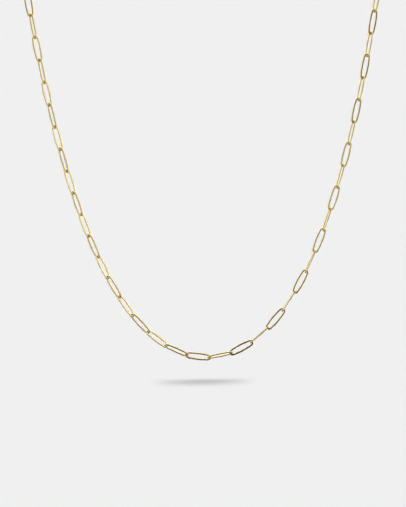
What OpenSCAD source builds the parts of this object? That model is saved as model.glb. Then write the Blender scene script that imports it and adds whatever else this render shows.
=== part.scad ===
// Paperclip chain necklace in its worn form, held up at the neck.
// Millimetres. +Z is up, -Y is the front, and the origin is at the middle of the neck,
// midway between the two points where the chain leaves the sides of the neck.

/* [Chain] */
// Length of the whole necklace, round the loop with the clasp closed
necklace_length = 450; // [440:1:460]
// Links in the whole chain, half of them on each side
link_count = 60; // [60:2:62]
// Diameter of the links' wire
wire_d = 0.65; // [0.6:0.01:0.66]
// Width of a link, outside
link_width = 2.64; // [2.6:0.02:2.9]
// Radius of a link's round ends, to the middle of the wire
link_end_r = 0.78; // [0.76:0.02:0.92]
// Play left between two links where they pull on each other
link_play = 0.3; // [0.28:0.01:0.34]

/* [Drape] */
// Radius of the curve at the lowest point of the drape
drape_r = 22.4; // [21:0.1:26]
// Height of the drape along the chest, from the lowest point to the sides of the neck
drape_height = 117; // [105:1:120]
// Lean of the chest from upright
chest_lean = 20; // [10:1:28]
// Distance of the lowest joint between two links from the middle
lowest_joint_x = 0.6; // [-1:0.1:1]

/* [Neck] */
// Rise of the chain from the sides of the neck to the nape
nape_rise = 22; // [18:1:26]
// Pull of the curve upwards at the sides of the neck
side_pull = 30; // [27:1:33]
// Pull of the curve sideways at the nape
nape_pull = 36; // [32:1:40]

/* [Clasp] */
// Diameter of the jump rings' wire
ring_wire_d = 0.6; // [0.5:0.05:0.7]
// Outside diameter of the jump ring in the clasp's eye
eye_ring_d = 3.8; // [3.6:0.1:4.4]
// Outside diameter of the jump ring that the clasp holds
held_ring_d = 4.4; // [4:0.1:5]
// Length of the clasp's claw, to the middle of its wall
claw_length = 6.6; // [6:0.1:7.4]
// Width of the clasp's claw, to the middle of its wall
claw_width = 3.4; // [3.2:0.1:4]
// Thickness of the claw where it hooks
hook_d = 1; // [0.8:0.05:1.2]
// Thickness of the claw along its body
body_d = 1.5; // [1.2:0.05:1.7]
// Outside diameter of the clasp's eye
eye_d = 2.7; // [2.6:0.1:3.2]

/* [Hidden] */
gold = [0.88, 0.72, 0.41];
wire_sides = 6;
end_steps = 6;
claw_steps = 24;
claw_sides = 10;
eye_steps = 16;
curve_steps = 80;
nape_near = 20;
nape_far = 90;
nape_tries = 24;

// Lengths between the points where neighbouring pieces pull on each other
held_ring_pitch = held_ring_d - 2 * ring_wire_d - link_play;
eye_ring_pitch = eye_ring_d - 2 * ring_wire_d - link_play;
eye_r = (eye_d - ring_wire_d) / 2;
eye_u = claw_length / 2 + eye_r;
clasp_pitch = claw_length / 2 - hook_d / 2 + eye_u + eye_r - ring_wire_d / 2 - link_play;
clasp_set = held_ring_pitch + clasp_pitch + eye_ring_pitch;
link_pitch = (necklace_length - clasp_set) / link_count;
links_a_side = link_count / 2;

// A link's centre line is four arcs: two round ends and two gently bowed sides. Each end reaches past the
// point where the link pulls on its neighbour
half_width = (link_width - wire_d) / 2;
end_reach = (wire_d + link_play) / 2;
half_length = link_pitch / 2 + end_reach;
end_u = half_length - link_end_r;
side_r = (pow(half_width, 2) + pow(end_u, 2) - pow(link_end_r, 2)) / (2 * (half_width - link_end_r));
end_turn = acos(end_u / (side_r - link_end_r));

// Where the chain leaves the sides of the neck, and the way it runs there
side_s = sqrt(pow(drape_height + drape_r, 2) - pow(drape_r, 2));
chest_up = [0, sin(chest_lean), cos(chest_lean)];
chest_out = [0, -cos(chest_lean), sin(chest_lean)];
neck_middle = drape_height * chest_up;
side_point = drape_point(side_s) - neck_middle;
side_way = ([drape_r, 0, 0] + side_s * chest_up) / norm([drape_r, side_s]);
hidden_length = necklace_length / 2 - side_s;
nape_back = nape_for(hidden_length, nape_near, nape_far, nape_tries);
neck_curve = neck_points(nape_back);
neck_runs = running_lengths(neck_curve);

// How the links are turned about their length, judged by eye from how wide they show in the photograph:
// 0 lies flat on the chest, 90 is edge on. Each row is one stretch, and turns change evenly between rows.
// Columns: link counted from the lowest joint, turn of the even links, turn of the odd links
stretches = [
    [-30, -80, 10],
    [-18, -60, 20],
    [-10, -45, 40],
    [-4, -40, 45],
    [0, -60, 25],
    [3, -85, 5],
    [10, -105, -10],
    [18, -120, -20],
    [30, -170, -80],
];
ring_turn = 10;
clasp_turn = -90;

function unit(v) = v / norm(v);
function mix(a, b, t) = a * (1 - t) + b * t;
function link_turn(i) = lookup(i, [for (row = stretches) [row[0], row[i % 2 == 0 ? 1 : 2]]]);

// The hanging curve of the drape, at length s along it from its lowest point
function drape_point(s) =
    [drape_r * ln(s / drape_r + sqrt(pow(s / drape_r, 2) + 1)), 0, 0]
    + (sqrt(pow(drape_r, 2) + pow(s, 2)) - drape_r) * chest_up;

// The curve from the side of the neck, over the shoulder and back to the middle of the nape
function neck_points(back) =
    let (end = [0, side_point.y + back, side_point.z + nape_rise])
    let (p = [side_point, side_point + side_pull * side_way, end + [nape_pull, 0, 0], end])
    [for (k = [0 : curve_steps]) let (t = k / curve_steps, w = 1 - t)
        p[0] * pow(w, 3) + p[1] * 3 * pow(w, 2) * t + p[2] * 3 * w * pow(t, 2) + p[3] * pow(t, 3)];

function running_lengths(p) =
    [for (i = 0, run = 0; i < len(p); i = i + 1, run = run + (i < len(p) ? norm(p[i] - p[i - 1]) : 0)) run];

// The distance back to the nape that gives the hidden stretch its length, found by halving
function nape_for(goal, low, high, tries) =
    let (middle = (low + high) / 2, runs = running_lengths(neck_points(middle)))
    tries == 0 ? middle
    : runs[len(runs) - 1] > goal ? nape_for(goal, low, middle, tries - 1)
    : nape_for(goal, middle, high, tries - 1);

function neck_point(run) =
    [for (axis = [0 : 2]) lookup(run, [for (k = [0 : curve_steps]) [neck_runs[k], neck_curve[k][axis]]])];

// A point of the whole loop, at length s from the lowest point, positive to the right
function loop_point(s) =
    let (turn = s > necklace_length / 2 ? s - necklace_length : s, run = abs(turn))
    let (p = run < side_s ? drape_point(run) - neck_middle : neck_point(run - side_s))
    [sign(turn) * p.x, p.y, p.z];

// The way out of the chest, turning to upright along the hidden stretch
function loop_out(s) =
    let (run = min(abs(s), necklace_length / 2))
    unit(mix(chest_out, [0, 0, 1], max(0, (run - side_s) / hidden_length)));

function link_s(i) = lowest_joint_x + i * link_pitch;

// Where the chain bends, a link settles outwards until its neighbours pull in the middle of its ends
function link_shift(i) =
    let (p = [for (k = [-1 : 2]) loop_point(link_s(i + k))])
    end_reach / 2 * (unit(p[1] - p[0]) - unit(p[3] - p[2]));

// Puts a piece that lies along X, flat in XY, between two lengths of the loop, moved across itself by a shift
module place(s_from, s_to, turn, shift = [0, 0, 0]) {
    start = loop_point(s_from);
    end = loop_point(s_to);
    along = unit(end - start);
    seed = loop_out((s_from + s_to) / 2);
    out = unit(seed - (seed * along) * along);
    outer = cross(along, out);
    across = outer * cos(turn) + out * sin(turn);
    flat = cross(along, across);
    middle = (start + end) / 2 + (shift * across) * across;
    multmatrix([for (axis = [0 : 2]) [along[axis], across[axis], flat[axis], middle[axis]]])
        children();
}

// A closed tube along a flat line. Columns of line: u along, v across, heading outwards, radius
module closed_tube(line, sides) {
    n = len(line);
    points = [for (row = line, k = [0 : sides - 1])
        let (a = 360 * k / sides, reach = row[3] * cos(a))
        [row[0] + reach * cos(row[2]), row[1] + reach * sin(row[2]), row[3] * sin(a)]];
    faces = [for (i = [0 : n - 1], k = [0 : sides - 1])
        let (i2 = (i + 1) % n, k2 = (k + 1) % sides)
        each [[i * sides + k, i * sides + k2, i2 * sides + k2], [i * sides + k, i2 * sides + k2, i2 * sides + k]]];
    polyhedron(points = points, faces = faces, convexity = 4);
}

// One link: an end's arc from side to side, then the middle of a bowed side, twice over
module link() {
    line = [for (end = [0, 1]) each concat(
        [for (k = [0 : end_steps])
            let (a = 180 * end - end_turn + 2 * end_turn * k / end_steps)
            [end_u * cos(180 * end) + link_end_r * cos(a), link_end_r * sin(a), a, wire_d / 2]],
        [[0, half_width * cos(180 * end), 90 + 180 * end, wire_d / 2]])];
    closed_tube(line, wire_sides);
}

module chain(first, last) {
    for (i = [first : last])
        place(link_s(i), link_s(i + 1), link_turn(i), link_shift(i))
            link();
}

module ring(outside_d) {
    rotate_extrude($fn = 48)
        translate([(outside_d - ring_wire_d) / 2, 0])
            circle(d = ring_wire_d, $fn = 32);
}

// The claw is a drop-shaped loop, thin where it hooks and thick along its body
module claw() {
    line = [for (k = [0 : claw_steps - 1])
        let (t = 360 * k / claw_steps, taper = 0.3)
        let (u = claw_length / 2 * cos(t), v = claw_width / 2 * sin(t) * (1 - taper * cos(t)))
        let (du = -claw_length / 2 * sin(t), dv = claw_width / 2 * (cos(t) - taper * cos(2 * t)))
        [u, v, atan2(-du, dv), mix(hook_d, body_d, pow(max(0, sin(t)), 2)) / 2]];
    closed_tube(line, claw_sides);
}

module clasp_eye() {
    line = [for (k = [0 : eye_steps - 1])
        let (t = 360 * k / eye_steps)
        [eye_u + eye_r * cos(t), eye_r * sin(t), t, ring_wire_d / 2]];
    closed_tube(line, 8);
}

module chain_left() {
    color(gold) chain(-links_a_side, -1);
}

module chain_right() {
    color(gold) chain(0, links_a_side - 1);
}

module ring_right() {
    s = link_s(links_a_side);
    color(gold) place(s, s + held_ring_pitch, ring_turn) ring(held_ring_d);
}

module clasp() {
    s = link_s(links_a_side) + held_ring_pitch;
    color(gold) place(s, s + clasp_pitch, clasp_turn)
        translate([-clasp_pitch / 2 + claw_length / 2 - hook_d / 2 - link_play / 2, 0, 0]) {
            claw();
            clasp_eye();
        }
}

module ring_left() {
    s = link_s(links_a_side) + held_ring_pitch + clasp_pitch;
    color(gold) place(s, s + eye_ring_pitch, ring_turn) ring(eye_ring_d);
}

chain_left();
chain_right();
ring_left();
ring_right();
clasp();
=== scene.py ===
"""A paperclip chain necklace in its worn form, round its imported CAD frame. Metres, +Z up, -Y the front."""

import math

import bmesh
import bpy
import numpy as np
from mathutils import Matrix


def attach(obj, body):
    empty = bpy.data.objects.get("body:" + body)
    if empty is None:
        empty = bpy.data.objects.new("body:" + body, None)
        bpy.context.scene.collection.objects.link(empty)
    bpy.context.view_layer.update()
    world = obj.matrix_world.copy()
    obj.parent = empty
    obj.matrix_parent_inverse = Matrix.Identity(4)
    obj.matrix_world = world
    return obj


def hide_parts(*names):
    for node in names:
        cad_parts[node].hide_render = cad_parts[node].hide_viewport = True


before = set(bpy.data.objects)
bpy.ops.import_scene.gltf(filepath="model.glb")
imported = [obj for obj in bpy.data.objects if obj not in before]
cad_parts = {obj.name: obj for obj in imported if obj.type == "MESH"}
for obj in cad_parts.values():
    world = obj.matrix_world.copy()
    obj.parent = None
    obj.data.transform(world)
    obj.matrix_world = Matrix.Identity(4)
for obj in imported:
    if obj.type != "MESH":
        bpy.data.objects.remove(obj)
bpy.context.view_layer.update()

# The chain: sixty long oval links of drawn wire. Each is bent round its neighbour, closed with a drop of
# solder in the middle of one long side and pressed a little flat; then all are polished and gold plated.
LINK_STEPS = 96
WIRE_SIDES = 28
WIRE_RADIUS = 0.00031
WIRE_FLATNESS = 0.76
PRESS_SHARPNESS = 8
LINK_END_RADIUS = 0.00078
LINK_SPACE = 0.0001
SOLDER_LENGTH = 0.0004
SOLDER_SWELL = 0.05
GOLD_DEEP = (0.83, 0.67, 0.32)
GOLD_PALE = (0.91, 0.79, 0.43)
TONE_CONTRAST, TONE_START = 1.6, 0.3
# Painted shade inside the end bends where the links hook: how far it reaches from the tip, how deep it goes,
# and its brown.
BEND_SHADE_REACH = 0.0005
BEND_SHADE_DEPTH = 0.75
BEND_SHADE_BROWN = (0.26, 0.15, 0.03)
MARK_STRETCH = (9.0, 9.0, 0.35)
MARK_SCALE = 2.4
MARK_ROUGHNESS = 0.1
MARK_DEPTH = 0.00001
MARK_STRENGTH = 0.25
CLOUD_SCALE = 900.0
CLOUD_ROUGHNESS = 0.12
DRIFT_SCALE = 130.0
SHIFT_RANGE = 50
MILLIMETRES = 1000
SAME_POINT = 1e-6
CAD_LINK_PLAY = 0.0003
CAD_WIRE_RADIUS = 0.000325


def loose_parts(node):
    """The points of a CAD node, doubles merged, as one block of points for each loose part.
    Every point takes the lowest number found along its edges until no number changes."""
    copy = bmesh.new()
    copy.from_mesh(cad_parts[node].data)
    bmesh.ops.remove_doubles(copy, verts=copy.verts, dist=SAME_POINT)
    mesh = bpy.data.meshes.new("merged")
    copy.to_mesh(mesh)
    copy.free()
    points = np.empty(len(mesh.vertices) * 3, np.float32)
    mesh.vertices.foreach_get("co", points)
    edges = np.empty(len(mesh.edges) * 2, np.int32)
    mesh.edges.foreach_get("vertices", edges)
    bpy.data.meshes.remove(mesh)
    points = points.reshape(-1, 3).astype(float)
    ends = edges.reshape(-1, 2)
    part = np.arange(len(points))
    before = None
    while before is None or (part != before).any():
        before = part.copy()
        low = part[ends].min(axis=1)
        np.minimum.at(part, ends[:, 0], low)
        np.minimum.at(part, ends[:, 1], low)
    count = len(np.unique(part))
    return points[np.argsort(part, kind="stable")].reshape(count, -1, 3)


def main_axes(blocks):
    """The middle of each block of points and its long, wide and flat axes: the directions in which the
    points spread most, less and least, and how far they reach along each."""
    middle = blocks.mean(axis=1)
    spread = blocks - middle[:, None]
    axes = np.linalg.eigh(np.einsum("bni,bnj->bij", spread, spread))[1]
    long, wide = axes[:, :, 2], axes[:, :, 1]
    axes = np.stack([long, wide, np.cross(long, wide)], axis=1)
    reach = np.abs(np.einsum("bni,bai->bna", spread, axes)).max(axis=1)
    return middle, axes, reach


def arc(centre, radius, start, turn, steps):
    """Points and headings along a circle's arc: the centre plus the radius times cosine and sine."""
    angle = start + turn * np.arange(steps) / steps
    heading = np.stack([np.cos(angle), np.sin(angle)], axis=1)
    return np.array(centre) + radius * heading, heading


def oval(half_length, half_width, end_radius, steps):
    """A link's centre line: a round end, a gently bowed side, the other end and the other side.
    It starts in the middle of a side. Each side is an arc that meets the ends without a corner."""
    end_u = half_length - end_radius
    side_radius = (half_width**2 + end_u**2 - end_radius**2) / (2 * (half_width - end_radius))
    end_turn = math.acos(end_u / (side_radius - end_radius))
    side_turn = math.pi / 2 - end_turn
    below = (0, half_width - side_radius)
    above = (0, side_radius - half_width)
    ends, sides = steps // 3, steps // 12
    pieces = [
        arc(above, side_radius, -math.pi / 2, side_turn, sides),
        arc((end_u, 0), end_radius, -end_turn, 2 * end_turn, ends),
        arc(below, side_radius, end_turn, 2 * side_turn, 2 * sides),
        arc((-end_u, 0), end_radius, math.pi - end_turn, 2 * end_turn, ends),
        arc(above, side_radius, math.pi + end_turn, side_turn, sides),
    ]
    return np.concatenate([p for p, h in pieces]), np.concatenate([h for p, h in pieces])


def section(sides, flatness=None):
    """A wire's outline as steps outwards and steps up: cosine and sine round the wire. Pressing holds the
    sine back as it nears the flatness: the sine over a root of 1 plus its share of the flatness to a
    power. The root and the power are the sharpness."""
    turn = 2 * math.pi * np.arange(sides) / sides
    rise = np.sin(turn)
    if flatness:
        rise = rise / (1 + np.abs(rise / flatness) ** PRESS_SHARPNESS) ** (1 / PRESS_SHARPNESS)
    return np.stack([np.cos(turn), rise])


def wire_loops(middles, axes, line, heading, radius, outline):
    """Closed wires swept along a flat line, one for each middle and its axes. The outline's steps, times
    the wire's radius, run along the line's heading and along the flat axis."""
    outwards, rise = radius[:, None] * outline[:, None]
    flat_points = line[:, None] + outwards[..., None] * heading[:, None]
    local = np.concatenate([flat_points, rise[..., None]], axis=2)
    return middles[:, None, None] + np.einsum("nki,bij->bnkj", local, axes)


def loop_faces(loops, steps, sides):
    """Quads between neighbouring rings of points, closed both along the wire and round it."""
    i = np.arange(steps)[:, None]
    k = np.arange(sides)[None]
    ahead, beside = (i + 1) % steps * sides, (k + 1) % sides
    here = i * sides
    quads = np.stack([here + k, here + beside, ahead + beside, ahead + k], axis=2)[..., ::-1].reshape(-1, 4)
    return (quads[None] + np.arange(loops)[:, None, None] * steps * sides).reshape(-1, 4)


def running_length(line):
    """How far along a closed line each of its points lies, and the length of the whole line."""
    pieces = np.linalg.norm(np.roll(line, -1, axis=0) - line, axis=1)
    return np.concatenate([[0], np.cumsum(pieces)[:-1]]), pieces.sum()


def mesh_piece(name, points, quads, along, turn, shift, painted_bend_shade=0.0):
    """A smooth mesh with two attributes. wire_way says where a point lies round its wire and along it, in
    millimetres, so that drawing marks can run with the wire; shift keeps like wires from matching. The
    other holds painted shade: how far the point is darkened to brown where links hook, from 0 to 1."""
    mesh = bpy.data.meshes.new(name)
    mesh.from_pydata(points.reshape(-1, 3), [], quads)
    mesh.shade_smooth()
    way = mesh.attributes.new("wire_way", "FLOAT_VECTOR", "POINT")
    around = np.stack([np.cos(turn), np.sin(turn), np.zeros_like(turn)], axis=-1)
    around = around * WIRE_RADIUS * MILLIMETRES + along[..., None] * np.array([0, 0, MILLIMETRES])
    way.data.foreach_set("vector", (around + shift).astype(np.float32).ravel())
    bend_shade_mask = mesh.attributes.new("painted_bend_shade", "FLOAT", "POINT")
    bend_shade_mask.data.foreach_set("value", np.broadcast_to(painted_bend_shade, turn.shape).astype(np.float32).ravel())
    piece = bpy.data.objects.new(name, mesh)
    bpy.context.scene.collection.objects.link(piece)
    return piece


class Shade:
    """An output of a material's nodes. Arithmetic on it adds Math nodes to the same material."""

    def __init__(self, tree, socket=None):
        self.tree = tree
        self.socket = socket

    def node(self, kind, settings, inputs, output=0):
        """Adds one node: its settings first, then a value or a link for each of its sockets."""
        made = self.tree.nodes.new("ShaderNode" + kind)
        for name, value in settings.items():
            setattr(made, name, value)
        for name, value in inputs.items():
            if isinstance(value, Shade):
                self.tree.links.new(value.socket, made.inputs[name])
            else:
                made.inputs[name].default_value = value
        return Shade(self.tree, made.outputs[output])

    def maths(self, operation, a, b):
        return self.node("Math", {"operation": operation}, {0: a, 1: b})

    def __add__(self, other):
        return self.maths("ADD", self, other)

    def __sub__(self, other):
        return self.maths("SUBTRACT", self, other)

    def __rsub__(self, other):
        return self.maths("SUBTRACT", other, self)

    def __mul__(self, other):
        return self.maths("MULTIPLY", self, other)

    __radd__ = __add__
    __rmul__ = __mul__


def plated_gold(name, roughness):
    """Polished gold plate: colour drifts between a deep and a pale tone, fine drawing marks run along
    the wire, small clouds are less well polished, and painted shade browns the inside of a tight bend."""
    material = bpy.data.materials.new(name)
    material.use_nodes = True
    tree = material.node_tree
    tree.nodes.clear()
    start = Shade(tree)
    place = start.node("TexCoord", {}, {}, "Object")
    way = start.node("Attribute", {"attribute_name": "wire_way"}, {}, "Vector")
    stretch = start.node("VectorMath", {"operation": "MULTIPLY"}, {0: way, 1: MARK_STRETCH})
    grain = {"Vector": stretch, "Scale": MARK_SCALE, "Detail": 3.0, "Roughness": 0.6}
    marks = start.node("TexNoise", {}, grain, "Fac")
    clouds = start.node("TexNoise", {}, {"Vector": place, "Scale": CLOUD_SCALE, "Detail": 2.0}, "Fac")
    drift = start.node("TexNoise", {}, {"Vector": place, "Scale": DRIFT_SCALE, "Detail": 1.0}, "Fac")
    share = drift * TONE_CONTRAST - TONE_START
    tone = start.node("Mix", {"data_type": "RGBA"}, {0: share, 6: (*GOLD_DEEP, 1), 7: (*GOLD_PALE, 1)}, 2)
    # Painted shade: the inside of a tight end bend is darkened towards brown where the links hook.
    bend_shade_mask = start.node("Attribute", {"attribute_name": "painted_bend_shade"}, {}, "Fac")
    tone = start.node("Mix", {"data_type": "RGBA"}, {0: bend_shade_mask, 6: tone, 7: (*BEND_SHADE_BROWN, 1)}, 2)
    relief = {"Height": marks, "Strength": MARK_STRENGTH, "Distance": MARK_DEPTH}
    bump = start.node("Bump", {}, relief, "Normal")
    surface = start.node(
        "BsdfPrincipled",
        {},
        {
            "Base Color": tone,
            "Metallic": 1.0,
            "Roughness": roughness + (marks - 0.5) * MARK_ROUGHNESS + (clouds - 0.5) * CLOUD_ROUGHNESS,
            "Normal": bump,
        },
    )
    output = tree.nodes.new("ShaderNodeOutputMaterial")
    tree.links.new(surface.socket, output.inputs["Surface"])
    return material


chain_gold = plated_gold("chain_gold", 0.10)
luck = np.random.default_rng(7)
for node in ("chain_left", "chain_right"):
    blocks = loose_parts(node)
    middles, axes, reach = main_axes(blocks)
    half_length = reach[0, 0] - CAD_WIRE_RADIUS - CAD_LINK_PLAY / 2 + LINK_SPACE / 2
    half_width = reach[0, 1] - WIRE_RADIUS
    line, heading = oval(half_length, half_width, LINK_END_RADIUS, LINK_STEPS)
    steps = len(line)
    run, whole = running_length(line)
    off_seam = np.minimum(run, whole - run)
    radius = WIRE_RADIUS * (1 + SOLDER_SWELL * np.exp(-((off_seam / SOLDER_LENGTH) ** 2)))
    points = wire_loops(middles, axes, line, heading, radius, section(WIRE_SIDES, WIRE_FLATNESS))
    turn = np.broadcast_to(2 * math.pi * np.arange(WIRE_SIDES) / WIRE_SIDES, points.shape[:3])
    along = np.broadcast_to(run[None, :, None], points.shape[:3])
    shift = luck.uniform(-SHIFT_RANGE, SHIFT_RANGE, (len(points), 1, 1, 3))
    quads = loop_faces(len(points), steps, WIRE_SIDES)
    # Painted shade: the inside of each end bend, near its tip, is darkened towards brown where the links hook
    # into each other.
    off_tip = np.abs(along % (whole / 2) - whole / 4)
    inside = (1 - np.cos(turn)) / 2
    painted_bend_shade = BEND_SHADE_DEPTH * inside * np.exp(-((off_tip / BEND_SHADE_REACH) ** 4))
    chain = mesh_piece(node + "_links", points, quads, along, turn, shift, painted_bend_shade)
    chain.data.materials.append(chain_gold)
    chain.visible_shadow = chain.visible_diffuse = False
    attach(chain, "root")
    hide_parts(node)

# The jump rings: one turn of round wire each, cut from a coil with side cutters. The cut ends are pushed
# together and leave a fine line across the wire; the rings join the chain's end links to the clasp.
RING_STEPS = 240
RING_SIDES = 24
RING_WIRE_RADIUS = 0.0003
CUT_DEPTH = 0.16
CUT_WIDTH = 0.00004

clasp_gold = plated_gold("clasp_gold", 0.12)
ring_middles = {}
for node in ("ring_left", "ring_right"):
    blocks = loose_parts(node)
    middles, axes, reach = main_axes(blocks)
    ring_middles[node] = middles[0]
    outside = np.linalg.norm(blocks - middles[:, None], axis=2).max()
    line, heading = arc((0, 0), outside - RING_WIRE_RADIUS, 0, 2 * math.pi, RING_STEPS)
    run, whole = running_length(line)
    off_cut = np.minimum(run, whole - run)
    radius = RING_WIRE_RADIUS * (1 - CUT_DEPTH * np.exp(-((off_cut / CUT_WIDTH) ** 2)))
    points = wire_loops(middles, axes, line, heading, radius, section(RING_SIDES))
    turn = np.broadcast_to(2 * math.pi * np.arange(RING_SIDES) / RING_SIDES, points.shape[:3])
    along = np.broadcast_to(run[None, :, None], points.shape[:3])
    quads = loop_faces(1, len(line), RING_SIDES)
    shift = luck.uniform(-SHIFT_RANGE, SHIFT_RANGE, 3)
    ring = mesh_piece(node + "_wire", points, quads, along, turn, shift)
    ring.data.materials.append(clasp_gold)
    ring.visible_shadow = ring.visible_diffuse = False
    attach(ring, "root")
    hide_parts(node)

# The clasp: a small lobster claw, cast in one piece with the eye that the left jump ring passes through,
# then tumbled smooth and plated. It is thick along its body and thin where it hooks the right ring.
CLAW_LENGTH = 0.0066
CLAW_WIDTH = 0.0034
CLAW_TAPER = 0.3
CLAW_STEPS = 160
CLAW_SIDES = 32
HOOK_RADIUS = 0.0005
BODY_RADIUS = 0.00075
EYE_WIRE_RADIUS = 0.0003
EYE_RADIUS = 0.00105
EYE_STEPS = 96
CAST_GRAIN = 0.00005
CAST_ROUNDS = 6

blocks = loose_parts("clasp")
middles, axes, reach = main_axes(blocks)
to_left = ring_middles["ring_left"] - ring_middles["ring_right"]
long = axes[0, 0] * np.sign(axes[0, 0] @ to_left)
wide = axes[0, 1] * -np.sign(axes[0, 1, 2])
clasp_axes = np.stack([long, wide, np.cross(long, wide)])
spread = (blocks[0] - middles[0]) @ clasp_axes.T
low, high = spread.min(axis=0), spread.max(axis=0)
claw_u = high[0] - EYE_WIRE_RADIUS - 2 * EYE_RADIUS - CLAW_LENGTH / 2
claw_v = (high[1] - BODY_RADIUS + low[1] + HOOK_RADIUS) / 2
clasp_middle = middles[0] + claw_u * long + claw_v * wide
t = 2 * math.pi * np.arange(CLAW_STEPS) / CLAW_STEPS
claw_line = np.stack(
    [CLAW_LENGTH / 2 * np.cos(t), CLAW_WIDTH / 2 * np.sin(t) * (1 - CLAW_TAPER * np.cos(t))], axis=1
)
tangent = np.stack(
    [-CLAW_LENGTH / 2 * np.sin(t), CLAW_WIDTH / 2 * (np.cos(t) - CLAW_TAPER * np.cos(2 * t))], axis=1
)
tangent = tangent / np.linalg.norm(tangent, axis=1, keepdims=True)
claw_heading = np.stack([tangent[:, 1], -tangent[:, 0]], axis=1)
claw_radius = HOOK_RADIUS + (BODY_RADIUS - HOOK_RADIUS) * np.maximum(0, np.sin(t)) ** 2
claw_place = clasp_middle[None], clasp_axes[None]
claw = wire_loops(*claw_place, claw_line, claw_heading, claw_radius, section(CLAW_SIDES))
eye_line, eye_heading = arc((CLAW_LENGTH / 2 + EYE_RADIUS, 0), EYE_RADIUS, 0, 2 * math.pi, EYE_STEPS)
eye_radius = np.full(EYE_STEPS, EYE_WIRE_RADIUS)
eye = wire_loops(*claw_place, eye_line, eye_heading, eye_radius, section(CLAW_SIDES))
cast_points = np.concatenate([claw.reshape(-1, 3), eye.reshape(-1, 3)])
eye_quads = loop_faces(1, EYE_STEPS, CLAW_SIDES) + CLAW_STEPS * CLAW_SIDES
cast_quads = np.concatenate([loop_faces(1, CLAW_STEPS, CLAW_SIDES), eye_quads])
unmarked = np.zeros(len(cast_points))
cast = mesh_piece("clasp_cast", cast_points, cast_quads, unmarked, unmarked, 0)
cast_mesh = cast.data
remesh = cast.modifiers.new("fuse", "REMESH")
remesh.mode = "VOXEL"
remesh.voxel_size = CAST_GRAIN
smooth = cast.modifiers.new("tumble", "SMOOTH")
smooth.iterations = CAST_ROUNDS
bpy.context.view_layer.update()
fused = bpy.data.meshes.new_from_object(cast.evaluated_get(bpy.context.evaluated_depsgraph_get()))
bpy.data.objects.remove(cast)
bpy.data.meshes.remove(cast_mesh)
fused_points = np.empty(len(fused.vertices) * 3, np.float32)
fused.vertices.foreach_get("co", fused_points)
fused_way = (fused_points.reshape(-1, 3) - clasp_middle) @ clasp_axes[[1, 2, 0]].T * MILLIMETRES
fused.name = "clasp_body"
fused.shade_smooth()
way = fused.attributes.new("wire_way", "FLOAT_VECTOR", "POINT")
way.data.foreach_set("vector", fused_way.astype(np.float32).ravel())
clasp = bpy.data.objects.new("clasp_body", fused)
bpy.context.scene.collection.objects.link(clasp)
clasp.data.materials.clear()
clasp.data.materials.append(clasp_gold)
clasp.visible_shadow = clasp.visible_diffuse = False
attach(clasp, "root")
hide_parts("clasp")

# The floor: a wide pale sheet of paper a little under the lowest link. Far off, the
# same paper stands round it and glows as brightly as the floor, so low views look against it too.
FLOOR_Z = -0.1177
FLOOR_REACH = 5
WALL_TOP = 5
PAPER_GREY = 0.85
PAPER_BRIGHTNESS = 0.871

paper_corners = [(FLOOR_REACH * x, FLOOR_REACH * y) for x, y in ((-1, -1), (1, -1), (1, 1), (-1, 1))]
floor_mesh = bpy.data.meshes.new("floor")
floor_mesh.from_pydata([(x, y, FLOOR_Z) for x, y in paper_corners], [], [(0, 1, 2, 3)])
floor = bpy.data.objects.new("floor", floor_mesh)
bpy.context.scene.collection.objects.link(floor)
floor.visible_glossy = False
paper = bpy.data.materials.new("paper")
paper.use_nodes = True
paper_sockets = paper.node_tree.nodes["Principled BSDF"].inputs
paper_sockets["Base Color"].default_value = (PAPER_GREY, PAPER_GREY, PAPER_GREY, 1)
paper_sockets["Roughness"].default_value = 1.0
paper_sockets["Specular IOR Level"].default_value = 0.0
floor_mesh.materials.append(paper)

wall_mesh = bpy.data.meshes.new("paper_wall")
wall_points = [(x, y, z) for z in (FLOOR_Z, WALL_TOP) for x, y in paper_corners]
wall_quads = [(k, (k + 1) % 4, (k + 1) % 4 + 4, k + 4) for k in range(4)]
wall_mesh.from_pydata(wall_points, [], wall_quads)
wall = bpy.data.objects.new("paper_wall", wall_mesh)
bpy.context.scene.collection.objects.link(wall)
wall.visible_glossy = wall.visible_diffuse = wall.visible_shadow = False
glow = bpy.data.materials.new("paper_glow")
glow.use_nodes = True
glow_sockets = glow.node_tree.nodes["Principled BSDF"].inputs
glow_sockets["Base Color"].default_value = (0, 0, 0, 1)
glow_sockets["Specular IOR Level"].default_value = 0.0
glow_sockets["Emission Color"].default_value = (PAPER_BRIGHTNESS, PAPER_BRIGHTNESS, PAPER_BRIGHTNESS, 1)
glow_sockets["Emission Strength"].default_value = 1.0
wall_mesh.materials.append(glow)

# The soft shadow under the lowest links: a thin card of gauze just over the floor that only holds back
# light. It is densest in the middle and thins out towards its ends and, more gently, towards the front.
SHADE_MIDDLE = (-0.0014, -0.0419)
SHADE_LENGTH = 0.0172
SHADE_BEHIND = 0.0031
SHADE_BEFORE = 0.0046
SHADE_RISE = 0.0002
SHADE_DENSITY = 0.37
SHADE_STEPS = 48
THINNING_FORWARD = 1.6
THINNING_TO_ENDS = 1.2
THINNING_TO_EDGES = 2

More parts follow.
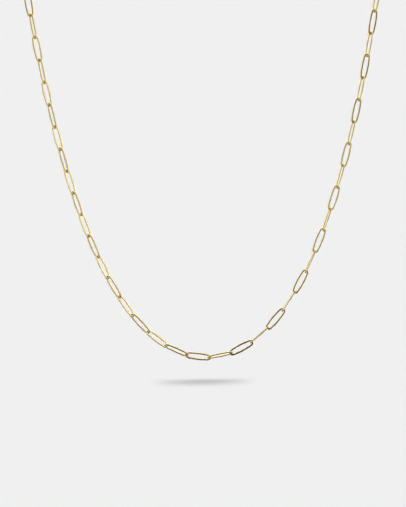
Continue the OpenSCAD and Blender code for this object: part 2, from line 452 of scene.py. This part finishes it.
u, v = np.meshgrid(np.linspace(-1, 1, SHADE_STEPS), np.linspace(-1, 1, SHADE_STEPS), indexing="ij")
shade_y = np.where(v > 0, SHADE_BEHIND, SHADE_BEFORE) * v
shade_z = np.full_like(u, FLOOR_Z + SHADE_RISE)
shade_points = np.stack([SHADE_MIDDLE[0] + SHADE_LENGTH * u, SHADE_MIDDLE[1] + shade_y, shade_z], axis=2)
corner = np.arange(SHADE_STEPS - 1)[:, None] * SHADE_STEPS + np.arange(SHADE_STEPS - 1)
shade_quads = np.stack([corner, corner + SHADE_STEPS, corner + SHADE_STEPS + 1, corner + 1], axis=2)
shade_mesh = bpy.data.meshes.new("shade_card")
shade_mesh.from_pydata(shade_points.reshape(-1, 3), [], shade_quads.reshape(-1, 4))
density = shade_mesh.attributes.new("thickness", "FLOAT", "POINT")
across = np.where(v > 0, v**2, np.abs(v) ** THINNING_FORWARD)
thickness = SHADE_DENSITY * (1 - u**2) ** THINNING_TO_ENDS * (1 - across) ** THINNING_TO_EDGES
density.data.foreach_set("value", thickness.astype(np.float32).ravel())
shade_card = bpy.data.objects.new("shade_card", shade_mesh)
bpy.context.scene.collection.objects.link(shade_card)
shade_card.visible_camera = shade_card.visible_diffuse = shade_card.visible_glossy = False
gauze = bpy.data.materials.new("gauze")
gauze.use_nodes = True
gauze.node_tree.nodes.clear()
start = Shade(gauze.node_tree)
held = start.node("Attribute", {"attribute_name": "thickness"}, {}, "Fac")
threads = start.node("BsdfPrincipled", {}, {"Base Color": (0, 0, 0, 1), "Alpha": held})
gauze_output = gauze.node_tree.nodes.new("ShaderNodeOutputMaterial")
gauze.node_tree.links.new(threads.socket, gauze_output.inputs["Surface"])
shade_mesh.materials.append(gauze)

# The light: a sun-like lamp straight above for the floor, and a room that only the gold reflects. Its
# pale walls hold five large soft things. Columns of a thing: azimuth from the front,
# height and half its width, in degrees, and how it changes the wall's brightness, from -1 to 1.
ROOM_BRIGHTNESS = 1.15
CAMERA_AND_STAND = (0, 45, 50, -1)
SHADED_GROUND = (0, -50, 75, -1)
DARK_CUPBOARD = (-95, -10, 40, -0.6)
DARK_DOOR = (50, 10, 22, -1)
WINDOW_BEHIND = (180, 40, 40, 1)
ROOM_THINGS = (CAMERA_AND_STAND, SHADED_GROUND, DARK_CUPBOARD, DARK_DOOR, WINDOW_BEHIND)
EVEN_SHARE = 0.15
SUN_SPREAD = 0.45

world = bpy.data.worlds.new("room")
bpy.context.scene.world = world
world.use_nodes = True
world.cycles_visibility.diffuse = False
room = world.node_tree
room.nodes.clear()


def between(value, low, high):
    """0 below low, 1 above high, and a smooth curve between them."""
    return value.node(
        "MapRange",
        {"interpolation_type": "SMOOTHSTEP"},
        {"Value": value, "From Min": low, "From Max": high},
    )


start = Shade(room)
direction = start.node("TexCoord", {}, {}, "Generated")
bright = ROOM_BRIGHTNESS
for azimuth, elevation, half_angle, change in ROOM_THINGS:
    azimuth, elevation, half_angle = (math.radians(angle) for angle in (azimuth, elevation, half_angle))
    towards = (
        math.sin(azimuth) * math.cos(elevation), -math.cos(azimuth) * math.cos(elevation), math.sin(elevation)
    )
    nearness = start.node("VectorMath", {"operation": "DOT_PRODUCT"}, {0: direction, 1: towards}, "Value")
    covered = between(nearness, math.cos(half_angle), math.cos(half_angle * EVEN_SHARE))
    bright = bright * (1 + covered * change)
background = start.node("Background", {}, {"Color": (1, 1, 1, 1), "Strength": bright})
room_output = room.nodes.new("ShaderNodeOutputWorld")
room.links.new(background.socket, room_output.inputs["Surface"])

sun_light = bpy.data.lights.new("overhead", "SUN")
sun_light.angle = SUN_SPREAD
sun_light.energy = math.pi * PAPER_BRIGHTNESS / PAPER_GREY
overhead = bpy.data.objects.new("overhead", sun_light)
overhead.visible_glossy = False
bpy.context.scene.collection.objects.link(overhead)

# The camera: a little left of the front and above the drape, at the photograph's angle and distance. Its
# sensor's long side is the photograph's height, so the lens follows from how many pixels a metre takes.
AZIMUTH, ELEVATION, ROLL = math.radians(-3.287), math.radians(20.551), math.radians(0.503)
DISTANCE = 0.4
TARGET = (-0.00112, -0.03001, -0.07801)
PIXELS_PER_METRE = 3121.4
PHOTO_HEIGHT = 507
SENSOR_SIZE = 36
NEAREST_SEEN = 0.01

camera_data = bpy.data.cameras.new("camera")
camera_data.sensor_width = SENSOR_SIZE
camera_data.lens = SENSOR_SIZE * DISTANCE * PIXELS_PER_METRE / PHOTO_HEIGHT
camera_data.clip_start = NEAREST_SEEN
camera = bpy.data.objects.new("camera", camera_data)
bpy.context.scene.collection.objects.link(camera)
right = np.array([math.cos(AZIMUTH), math.sin(AZIMUTH), 0])
back = np.array(
    [math.sin(AZIMUTH) * math.cos(ELEVATION), -math.cos(AZIMUTH) * math.cos(ELEVATION), math.sin(ELEVATION)]
)
up = np.cross(back, right)
turned_right = math.cos(ROLL) * right + math.sin(ROLL) * up
turned_up = math.cos(ROLL) * up - math.sin(ROLL) * right
place = np.eye(4)
place[:3] = np.stack([turned_right, turned_up, back, np.array(TARGET) + DISTANCE * back], axis=1)
camera.matrix_world = Matrix(place)
bpy.context.scene.camera = camera
bpy.context.scene.view_settings.view_transform = "Standard"
